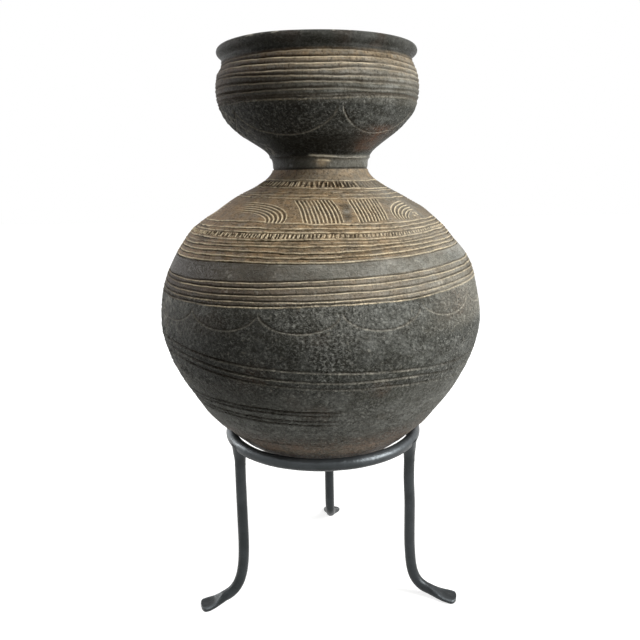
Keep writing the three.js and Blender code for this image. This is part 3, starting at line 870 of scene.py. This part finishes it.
BODY_LINES = [
    ((382.0, 384.2, 387.3, 389.2, 392.2), 1.2, 0.95),
    ((377.8, 379.4, 382.2, 384.0, 386.7), 1.2, 0.9),
    ((372.0, 373.2, 376.0, 378.2, 381.8), 1.2, 0.75),
    ((366.5, 368.2, 370.0, 372.0, 376.0), 1.3, 0.85),
    ((361.8, 363.5, 366.8, 367.6, 372.0), 1.2, 0.9),
]
SHOULDER_LINES = [
    ((435.0, 436.3, 434.0, 433.0, 433.5), 1.0, 1.0),
    ((430.2, 430.9, 430.3, 429.3, 430.8), 1.0, 0.9),
    ((427.2, 427.4, 427.1, 426.0, 427.8), 0.9, 0.85),
    ((420.8, 420.9, 421.6, 420.9, 423.3), 1.0, 0.95),
    ((417.4, 418.2, 418.6, 418.1, 420.6), 0.7, 0.35),
    ((414.4, 415.9, 415.7, 415.7, 418.0), 1.2, 0.95),
    ((410.3, 411.7, 410.5, 413.0, 414.2), 1.2, 0.9),
    ((405.8, 407.0, 406.5, 408.4, 411.0), 1.2, 0.95),
    ((400.8, 402.7, 402.4, 404.4, 406.6), 1.2, 1.0),
]
NECK_LINES = [
    ((473.9, 473.3, 472.8, 471.9, 471.8), 0.8, 0.95),
    ((466.2, 466.0, 465.0, 464.4, 463.7), 0.9, 0.95),
    ((460.6, 461.6, 461.3, 461.6, 461.8), 0.9, 0.5),
    ((459.0, 458.9, 458.7, 458.3, 458.0), 0.9, 0.6),
    ((456.9, 456.6, 456.0, 455.3, 454.4), 0.8, 0.7),
]

# Notches: the lines they hang between, and how many lie to the left of each of some azimuths
UPPER_NOTCHES = {
    "band": ((472.3, 472.0, 471.6, 470.9, 470.6), (467.4, 467.0, 466.0, 465.3, 464.8)),
    "turns": (-180, -50, -14, 2, 33, 180),
    "counts": (0, 29, 35.7, 39.2, 48.6, 81),
}
LOWER_NOTCHES = {
    "band": ((425.9, 426.4, 426.2, 425.0, 426.6), (422.2, 422.2, 422.8, 422.0, 424.2)),
    "turns": (-180, -55, -30, 0, 24, 42, 180),
    "counts": (0, 76, 97, 115.5, 128.5, 141, 220),
}

# The combed panels and arches: the heights they reach, and each group's azimuth and size
COMB_TOP = 454.4
COMB_BOTTOM = 434.7
COMB_GROUPS = ((0, 1.0), (130, 0.97), (230, 1.02))

ARC_WIDTH = 0.8
ARC_DEPTH = 0.9
BODY_ARCS = {
    "centres": (-83, -58, -32.5, -6.5, 19.5, 46, 72, 98, 124, 150, 176, 202, 227, 252),
    "half_widths": (12, 12.5, 13, 12.5, 13, 12.5, 13, 13, 13, 13, 13, 12.5, 12.5, 12),
    "tops": (357, 358, 361, 361, 363, 366, 368, 368, 367, 366, 365, 362, 360, 358),
    "bottoms": (341, 341.5, 342, 343, 343.5, 348.5, 349, 350, 349, 348, 347, 345, 343, 342),
}
SHOULDER_TOP = 483.3


def hanging_arcs(patch, centres, half_widths, tops, bottoms, chalk_and_highlight):
    """Half ellipses that hang in a row, each drawn in one thin stroke of uneven force. Pale dust has
    stayed along the lower edge, more or less of it by its chalk share, and is partly a painted
    highlight on that upturned edge, while the stroke is painted dark above it, partly as painted
    shade."""
    for i, (centre, half, top, bottom) in enumerate(zip(centres, half_widths, tops, bottoms)):
        turn = turn_apart(patch.azimuth, centre)
        share = np.clip(turn / half, -1, 1)
        high, low = run_at(top), run_at(bottom)
        arc = high - (high - low) * np.sqrt(1 - share ** 2)
        slope = (high - low) * share / np.sqrt(1.02 - share ** 2) / (half * np.radians(1) * patch.radius)
        distance = (patch.run - arc) / np.sqrt(1 + slope ** 2)
        inside = 1 - smooth(np.abs(turn), half * 0.97, half)
        force = inside * np.clip(0.8 + 0.4 * noise(patch.spot, 18, 400 + i), 0.2, 1.2)
        patch.lift -= force * ARC_DEPTH * ridge(distance, 0, ARC_WIDTH)
        # Partly painted shade in the stroke; below, pale dust that is partly painted highlight.
        patch.marks["cut"] += 0.6 * force * ridge(distance, 0.3 * ARC_WIDTH, 0.8 * ARC_WIDTH)
        dust = ridge(distance, -0.9 * ARC_WIDTH, 0.75 * ARC_WIDTH)
        patch.marks["chalk_and_highlight"] += chalk_and_highlight * force * dust


def notches(patch, band, turns, counts, seed, width, slant, strength):
    """Short cuts side by side between two lines, each pressed in with the edge of a flat tool, painted
    dark inside, partly as painted shade, with pale walls. How many lie to the left of each of some
    azimuths says where they crowd."""
    azimuth = patch.azimuth[0]
    high, low = (run_at(hand_line(heights, azimuth, seed + i)) for i, heights in enumerate(band))
    slot = np.round(np.interp(patch.azimuth, turns, counts)).astype(np.int64)
    own = [even_random(slot % counts[-1], slot * 0 + k, slot * 0, seed) for k in range(4)]
    centre = np.interp(slot + 0.4 * (own[0] - 0.5), counts, turns)
    middle, half = (high + low) / 2, (high - low) / 2
    across = patch.aside(centre) - (slant + 0.35 * (own[1] - 0.5)) * (patch.run - middle)
    inside = 1 - smooth(np.abs(patch.run - middle) / half, 0.85 - 0.3 * own[2], 1.15 - 0.2 * own[2])
    force = strength * inside * (0.75 + 0.35 * own[3])
    side = np.abs(across)
    flat_cut = 1 - smooth(side, 0.75 * width, 1.35 * width)
    patch.lift += force * 1.2 * (0.3 * ridge(side, 1.9 * width, 0.6 * width) - flat_cut)
    patch.marks["cut"] += 0.85 * force * flat_cut
    patch.marks["crest"] += inside * strength * ridge(side, 1.8 * width, 0.5 * width)


def comb_strokes(patch, place, spacing, rows, inside):
    """Broad cuts at whole numbers of a place among the strokes, a spacing apart, painted dark partly as
    painted shade, with a sharp bright crest between each two, partly a painted highlight."""
    across = (place - np.clip(np.round(place), 0, rows - 1)) * spacing
    crest = spacing / 2 - np.abs(across)
    force = inside * np.clip(0.9 + 0.4 * noise(patch.spot, 9, 457), 0.3, 1.15)
    patch.lift += force * 0.9 * (0.35 * ridge(crest, 0, 0.55) - ridge(across, 0, 0.3 * spacing))
    # Partly painted shade in the cuts, and partly painted highlight on the crests.
    patch.marks["cut"] += 0.62 * force * ridge(across, 0, 0.3 * spacing)
    patch.marks["crest"] += 1.05 * force * ridge(crest, 0, 0.52)


def comb_panel(patch, centre, top, bottom, bow, rows):
    """A leaning panel of comb strokes. Its left edge, in mm from an azimuth, and its spacing are
    given at the top and at the bottom, and its strokes bow between them."""
    high, low = run_at(COMB_TOP), run_at(COMB_BOTTOM)
    share = (high - patch.run) / (high - low)
    left, spacing = (upper + (lower - upper) * share for upper, lower in zip(top, bottom))
    distance = patch.aside(centre) - left - bow * share * (1 - share)
    distance += 0.45 * noise(patch.spot, 13, 455) + 0.15 * noise(patch.spot, 4, 458)
    ends = window(patch.run + 1.4 * noise(patch.spot, 4, 456), low + 0.9, high - 0.9, 1.2)
    sides = window(distance / spacing, -0.5, rows - 0.5, 0.12)
    comb_strokes(patch, distance / spacing, spacing, rows, ends * sides)


def comb_arches(patch, centre, side, outer, inner, rows, trail_off):
    """Strokes along nested quarter ellipses, given as width and height: upright at the foot, level
    over the centre and trailing off past it. A point's place among them is found in six steps."""
    across = side * patch.aside(centre)
    up = np.maximum(patch.run - run_at(COMB_BOTTOM), 0)
    ahead = np.maximum(across, 0)
    step = [(outer[k] - inner[k]) / (rows - 1) for k in (0, 1)]
    place = np.zeros_like(up)
    for _ in range(6):
        width, height = (np.maximum(outer[k] - place * step[k], 2) for k in (0, 1))
        reach = np.hypot(ahead / width, up / height)
        place = np.clip(place + (1 - reach) * outer[1] / step[1], -3, rows + 2)
    steep = ahead ** 2 / (ahead ** 2 + up ** 2 + 1e-6)
    spacing = step[0] * steep + step[1] * (1 - steep)
    trail = smooth(across, -trail_off * outer[0], 0.1 * outer[0])
    inside = trail * smooth(up, 0.3, 1.6) * window(place, -0.5, rows - 0.5, 0.1)
    comb_strokes(patch, place, spacing, rows, inside)


def comb_groups(patch):
    """Three groups round the shoulder, each of two panels between two sets of arches. A smooth
    sooty place is left between the panels."""
    for turn, size in COMB_GROUPS:
        comb_panel(patch, turn, (-22.4 * size, 3.6), (-12.3 * size, 3.75), 4.8, 10)
        comb_panel(patch, turn, (28.8 * size, 3.75), (40.6 * size, 3.4), 1.5, 9)
        comb_arches(patch, turn - 41.5, 1, (52 * size, 30), (36.5 * size, 17), 5, 0.4)
        comb_arches(patch, turn + 58.5, -1, (40 * size, 27), (26 * size, 11), 5, 0.05)
        bare = ridge(turn_apart(patch.azimuth, turn + 13.5), 0, 2.6) * window(patch.height, 439, 449, 3)
        patch.marks["soot_and_shade"] += 0.7 * bare
        patch.marks["chalk_and_highlight"] += 0.3 * bare * ridge(patch.height, 444, 2)


def decorate_shoulder(patch):
    """Everything drawn into the shoulder, band by band. The dust has worn off the body's lines at
    both sides, and the notches are faint in places. The lower notches are deeper and darker at the
    left, partly as painted shade."""
    if patch.near(335, 372):
        hanging_arcs(patch, **BODY_ARCS, chalk_and_highlight=0.5)
    turn = patch.azimuth
    if patch.near(355, 397):
        hold = 0.3 + 0.95 * smooth(turn, -68, -44) - 0.62 * smooth(turn, 8, 38)
        worn = smooth(-turn, 28, 46) * (1 - smooth(patch.height, 364, 366))
        incise_rounds(patch, BODY_LINES, 311, 0.7, -1, hold=hold * (1 - 0.75 * worn))
    if patch.near(396, 440):
        hold = 1.15 - 0.42 * smooth(turn, -25, 40)
        incise_rounds(patch, SHOULDER_LINES, 211, 0.68, 1, shade=0.8, hold=hold)
        # Depth and painted shade: the lower notches grow deeper and darker towards the left.
        strength = 0.65 + 0.55 * smooth(-turn, -10, 25)
        notches(patch, **LOWER_NOTCHES, seed=271, width=0.85, slant=0.18, strength=strength)
    if patch.near(430, 457):
        comb_groups(patch)
    if patch.near(450, 480):
        incise_rounds(patch, NECK_LINES, 111, 0.6, 1, shade=0.7)
        faint = 0.5 * window(turn, -17, 1, 5) + 0.25 * window(turn, 4, 36, 3)
        strength = 1 - faint - 0.8 * window(turn, 38, 80, 6)
        notches(patch, **UPPER_NOTCHES, seed=171, width=1.2, slant=0.02, strength=strength)


# Each section's lower and upper height, the spacing of its rows and its columns
SHOULDER_SECTIONS = {
    "upper_belly_arcs": (BELLY[1], 358, 0.75, 1200),
    "shoulder_long_lines": (358, 397, 0.62, 1120),
    "shoulder_close_lines": (397, 431, 0.55, 1000),
    "shoulder_combed": (431, 457, 0.6, 1080),
    "shoulder_notched": (457, SHOULDER_TOP, 0.52, 900),
}
for name, (low, high, spacing, columns) in SHOULDER_SECTIONS.items():
    patch = Patch(rows_between((low, high, spacing)), columns)
    decorate_shoulder(patch)
    work_surface(patch)
    make_section(name, patch, "jar_shoulder")

# The neck: a short collar between shoulder and cup, smoothed with a wet hand. A groove was left
# below it, and the cup was luted on above it with a thin raised line of clay.

NECK = (SHOULDER_TOP, 495.8)
COLLAR_SEAM = (497.0, 498.2, 496.9, 495.3, 495.6)
COLLAR_GROOVE = 484.2


def finish_collar(patch):
    """The groove below the collar and the raised line above it, rubbed pale in front, with a smaller
    pale streak under it. Both pale marks are partly painted highlight where the line faces the
    light, the dark just under the line at the front right is a painted shadow, and the groove is
    painted dark, partly as painted shade, with a pale lower edge that is partly painted highlight."""
    z, turn = patch.height, patch.azimuth
    level = hand_line(COLLAR_SEAM, turn[0], 731)
    patch.lift += 1.0 * ridge(z, level, 1.4) - 0.9 * ridge(z, COLLAR_GROOVE, 1.0)
    # Partly painted highlight: the raised line and the streak under it are paler at the front and to the
    # right, where they face the light.
    bright = window(turn, -9, 16, 6) + 0.5 * window(turn, 18, 60, 8)
    seam = np.clip(bright, 0, 1) * ridge(z, level, 0.55 + 0.35 * ridge(turn, 0, 9))
    patch.marks["chalk_and_highlight"] += 0.95 * seam
    patch.marks["crest"] += 0.7 * ridge(z, level, 0.8) * window(turn, -7, 12, 6)
    patch.marks["crest"] += 0.6 * ridge(z, level - 4.2, 0.9) * window(turn, -1, 9, 4)
    patch.marks["ochre"] += 1.2 * ridge(z, 491, 4) * ridge(turn, 1, 7)
    # A painted shadow under the raised line at the front right, and the groove painted dark, partly as
    # painted shade, with a pale lower edge that is partly painted highlight.
    below = 0.6 * ridge(z, level - 2.4, 0.9) * window(turn, 2, 62, 8)
    patch.marks["cut"] += 0.75 * ridge(z, COLLAR_GROOVE - 0.2, 0.9) + below
    patch.marks["crest"] += 0.25 * ridge(z, COLLAR_GROOVE - 2, 0.8)


collar = Patch(rows_between((*NECK, 0.45)), 800)
work_surface(collar)
finish_collar(collar)
make_section("smoothed_collar", collar, "jar_neck")

# The cup: a wide bowl-shaped mouth, built on the neck. It has six hanging arcs on its coarse lower
# half and nine lines, drawn round one after another and dusted with ochre, on its upper half.

CUP_LINES = [
    ((588.2, 588.3, 588.6, 588.0, 588.0), 1.1, 0.25),
    ((585.2, 583.4, 581.9, 583.0, 581.5), 1.4, 0.75),
    ((579.5, 577.9, 576.5, 577.3, 576.5), 1.4, 0.7),
    ((573.5, 571.6, 570.6, 572.6, 571.8), 1.2, 0.35),
    ((571.0, 567.6, 565.3, 565.4, 567.0), 1.2, 0.25),
    ((563.2, 561.2, 560.6, 559.6, 560.6), 1.5, 0.18),
    ((555.4, 554.4, 554.4, 553.6, 555.2), 1.6, 0.14),
    ((549.5, 549.0, 548.3, 549.8, 550.3), 1.3, 0.06),
    ((546.8, 547.2, 546.4, 548.2, 549.2), 1.0, 0.2),
]
CUP_ARCS = {
    "centres": (-86, -22, 43, 107, 162, 217),
    "half_widths": (32, 33, 30, 31, 27, 27),
    "tops": (546, 546, 547, 547, 547, 547),
    "bottoms": (523, 516.5, 517.5, 519, 518, 520),
}
RIM_JOINT = LIP_NECK[1] - 1.0
COARSE_TOP = 544.0

# Each section's lower and upper height, the spacing of its rows and its columns
CUP_SECTIONS = {
    "cup_bowl": (NECK[1], COARSE_TOP, 0.75, 820),
    "cup_lines": (COARSE_TOP, RIM_JOINT, 0.6, 960),
}

for name, (low, high, spacing, columns) in CUP_SECTIONS.items():
    patch = Patch(rows_between((low, high, spacing)), columns)
    if patch.near(500, 550):
        hanging_arcs(patch, **CUP_ARCS, chalk_and_highlight=0.6)
    if patch.near(542, 594):
        side = patch.azimuth
        hold = 1 - 0.7 * smooth(-side, 20, 60) - 0.45 * smooth(side, 5, 40)
        incise_rounds(patch, CUP_LINES, 11, 0.95, -1, 1 - 0.3 * smooth(side, 5, 50), hold=hold)
    work_surface(patch)
    finish_collar(patch)
    make_section(name, patch, "jar_cup")

# The rim: a last coil, turned out and rounded over by hand, then burnished and smoked black, and
# painted darker towards the left as painted shade. Its top is worn pale in a few specks, which are
# partly painted glints.

LIP_TOP = JAR_BOTTOM + 457.5
LIP_RADIUS = 103.5
LIP_ROLL = 5.0
RIM_COLUMNS = 560


def rim_profile():
    """The lip from its outer joint: out, over its crest and down to its inner joint."""
    outer, _, out, _ = outline_at(run_at(RIM_JOINT))
    inner = (outer - out * WALL, RIM_JOINT)
    crest, shoulder = LIP_RADIUS - LIP_ROLL, LIP_TOP - LIP_ROLL
    rise = shoulder - RIM_JOINT
    flare = bezier(
        (outer, RIM_JOINT), (outer - 0.2, RIM_JOINT + 0.45 * rise),
        (LIP_RADIUS - 0.3, shoulder - 0.55 * rise), (LIP_RADIUS, shoulder), 18,
    )
    angle = np.linspace(0, math.pi / 2, 16)[1:]
    over = np.stack([crest + LIP_ROLL * np.cos(angle), shoulder + LIP_ROLL * np.sin(angle)], -1)
    into = bezier((crest, LIP_TOP), (crest - 5, LIP_TOP), (inner[0], LIP_TOP - 5), inner, 20)[1:]
    return np.vstack([flare, over, into])


def burnished_rim():
    """The profile turned about the axis. The potter's hand left it a little uneven, and the whole
    lip dips half a millimetre to the right and rises as much at the front left."""
    profile = rim_profile()
    azimuth = (full_turn(RIM_COLUMNS) - 180)[None, :]
    radius, height = profile[:, 0, None], profile[:, 1, None]
    spot = ring_point(azimuth, radius, height)
    share = smooth(height, RIM_JOINT, RIM_JOINT + 4)
    uneven = (0.4 * noise(spot, 60, 81) + 0.12 * noise(spot, 13, 82)) * (0.3 + 0.7 * share)
    dip = 0.5 * np.sin(np.radians(azimuth)) + 0.35 * noise(spot, 80, 86) + 0.15
    dip = share * (dip - 0.45 * ridge(azimuth, -28, 18))
    points = ring_point(azimuth, radius + uneven, height - dip)
    points[..., 0] += np.interp(height, HAND_HEIGHTS, LEAN)
    marks = {
        # Soot, and painted shade darkening the lip towards the left.
        "soot_and_shade": 0.72 + 0.28 * smooth(-azimuth, -5, 45) + 0 * height,
        "burnish": np.full(spot.shape[:2], 0.9),
        "pebble": np.full(spot.shape[:2], 0.1),
        "rust": 0.5 * smooth(noise(spot, 26, 84), 0.1, 0.8),
        # Pale specks on the top, partly wear and partly painted glints.
        "chalk_and_highlight": 0.6 * smooth(noise(spot, 5, 83), 0.6, 0.85) * ridge(height, LIP_TOP, 3),
    }
    return skin(points, loop_rows=True), marks


surface, marks = burnished_rim()
make_piece("burnished_rim", surface, "jar", "jar_rim", EARTHENWARE, marks)

# The studio: a pale floor under a white surround, a large soft light at the right, one overhead, a
# weak one behind at the left, and the photograph's camera. Its lengths are in metres, apart from
# the camera's lens and sensor.

FLOOR_HALF = 6.0
SURROUND_LIGHT = 0.09
LIGHTS_AIM = (0, 0, 0.38)

# Each soft light's azimuth, elevation, distance, width, height and power
SOFT_LIGHTS = {
    "key": (68, 20, 1.5, 0.75, 1.0, 39),
    "top": (0, 76, 1.4, 0.9, 0.9, 18),
    "edge": (-118, 12, 1.6, 0.4, 0.9, 10),
}
CAMERA_PLACE = (-1.4 * MM, -740.8 * MM, 481.9 * MM)
CAMERA_PITCH = 0.219
CAMERA_ROLL = 0.017
CAMERA_LENS = 37.665
CAMERA_SENSOR = 36


def shown_white(tree):
    """1 for what the camera sees, directly or through a reflection, and 0 for light on the object."""
    direct = add_node(tree, "ShaderNodeLightPath", out="Is Camera Ray")
    rays = direct.node.outputs
    seen = add_node(tree, "ShaderNodeMath", {0: direct, 1: rays["Is Glossy Ray"]}, operation="MAXIMUM")
    through = rays["Is Transmission Ray"]
    return add_node(tree, "ShaderNodeMath", {0: seen, 1: through}, operation="MAXIMUM")


def pale_floor():
    """Matt and pale. It glows just enough to come out white, except where the object keeps light
    from it, and wholly where the lamps no longer reach."""
    mesh = bpy.data.meshes.new("floor")
    corners = [(x * FLOOR_HALF, y * FLOOR_HALF, 0) for x, y in ((-1, -1), (1, -1), (1, 1), (-1, 1))]
    mesh.from_pydata(corners, [], [(0, 1, 2, 3)])
    material, tree = new_tree("pale_floor")
    place = add_node(tree, "ShaderNodeTexCoord", out="Object")
    away = add_node(tree, "ShaderNodeVectorMath", {0: place}, "Value", operation="LENGTH")
    level = add_node(
        tree,
        "ShaderNodeMapRange",
        {0: away, 1: 0.35, 2: 1.1, 3: 0.78, 4: 1.0},
        interpolation_type="SMOOTHSTEP",
    )
    glow = add_node(tree, "ShaderNodeMath", {0: shown_white(tree), 1: level}, operation="MULTIPLY")
    shader = add_node(
        tree,
        "ShaderNodeBsdfPrincipled",
        {
            "Base Color": linear("#bcbcba"),
            "Roughness": 0.9,
            "Emission Color": (1, 1, 1, 1),
            "Emission Strength": glow,
        },
    )
    add_node(tree, "ShaderNodeOutputMaterial", {"Surface": shader})
    mesh.materials.append(material)
    floor = bpy.data.objects.new("floor", mesh)
    bpy.context.scene.collection.objects.link(floor)


def white_surround(level):
    """White to the camera and in reflections, and an even light of the given level on everything."""
    world = bpy.data.worlds.new("surround")
    world.use_nodes = True
    tree = world.node_tree
    tree.nodes.clear()
    strength = add_node(tree, "ShaderNodeMath", {0: shown_white(tree), 1: level}, operation="MAXIMUM")
    back = add_node(tree, "ShaderNodeBackground", {"Color": (1, 1, 1, 1), "Strength": strength})
    add_node(tree, "ShaderNodeOutputWorld", {"Surface": back})
    bpy.context.scene.world = world


def place_towards(thing, place, right, up, back):
    """Sets an object's place in metres and its three directions."""
    matrix = Matrix.Identity(4)
    for column, axis in enumerate((right, up, back)):
        for row in range(3):
            matrix[row][column] = axis[row]
            matrix[row][3] = place[row]
    thing.matrix_world = matrix
    bpy.context.scene.collection.objects.link(thing)


def soft_box(name, azimuth, elevation, distance, width, height, power):
    """A soft light of a size and distance in metres, aimed at the jar's shoulder."""
    light = bpy.data.lights.new(name, "AREA")
    light.shape = "RECTANGLE"
    light.size, light.size_y = width, height
    light.energy = power
    rise = math.radians(elevation)
    out, right, upward = directions(azimuth)
    back = out * math.cos(rise) + upward * math.sin(rise)
    lamp = bpy.data.objects.new(name, light)
    place_towards(lamp, LIGHTS_AIM + back * distance, right, np.cross(back, right), back)


def photograph_camera():
    """Close, level with the jar's neck, looking down by its pitch and rolled, both in radians."""
    forward = np.array([0, math.cos(CAMERA_PITCH), -math.sin(CAMERA_PITCH)])
    level = np.array([1.0, 0, 0])
    above = np.cross(level, forward)
    right = level * math.cos(CAMERA_ROLL) - above * math.sin(CAMERA_ROLL)
    up = level * math.sin(CAMERA_ROLL) + above * math.cos(CAMERA_ROLL)
    camera = bpy.data.cameras.new("camera")
    camera.sensor_width = CAMERA_SENSOR
    camera.lens = CAMERA_LENS
    camera.clip_start = 0.01
    body = bpy.data.objects.new("camera", camera)
    place_towards(body, CAMERA_PLACE, right, up, -forward)
    bpy.context.scene.camera = body


bpy.context.scene.view_settings.view_transform = "Standard"
pale_floor()
white_surround(SURROUND_LIGHT)
for name, light in SOFT_LIGHTS.items():
    soft_box(name, *light)
photograph_camera()
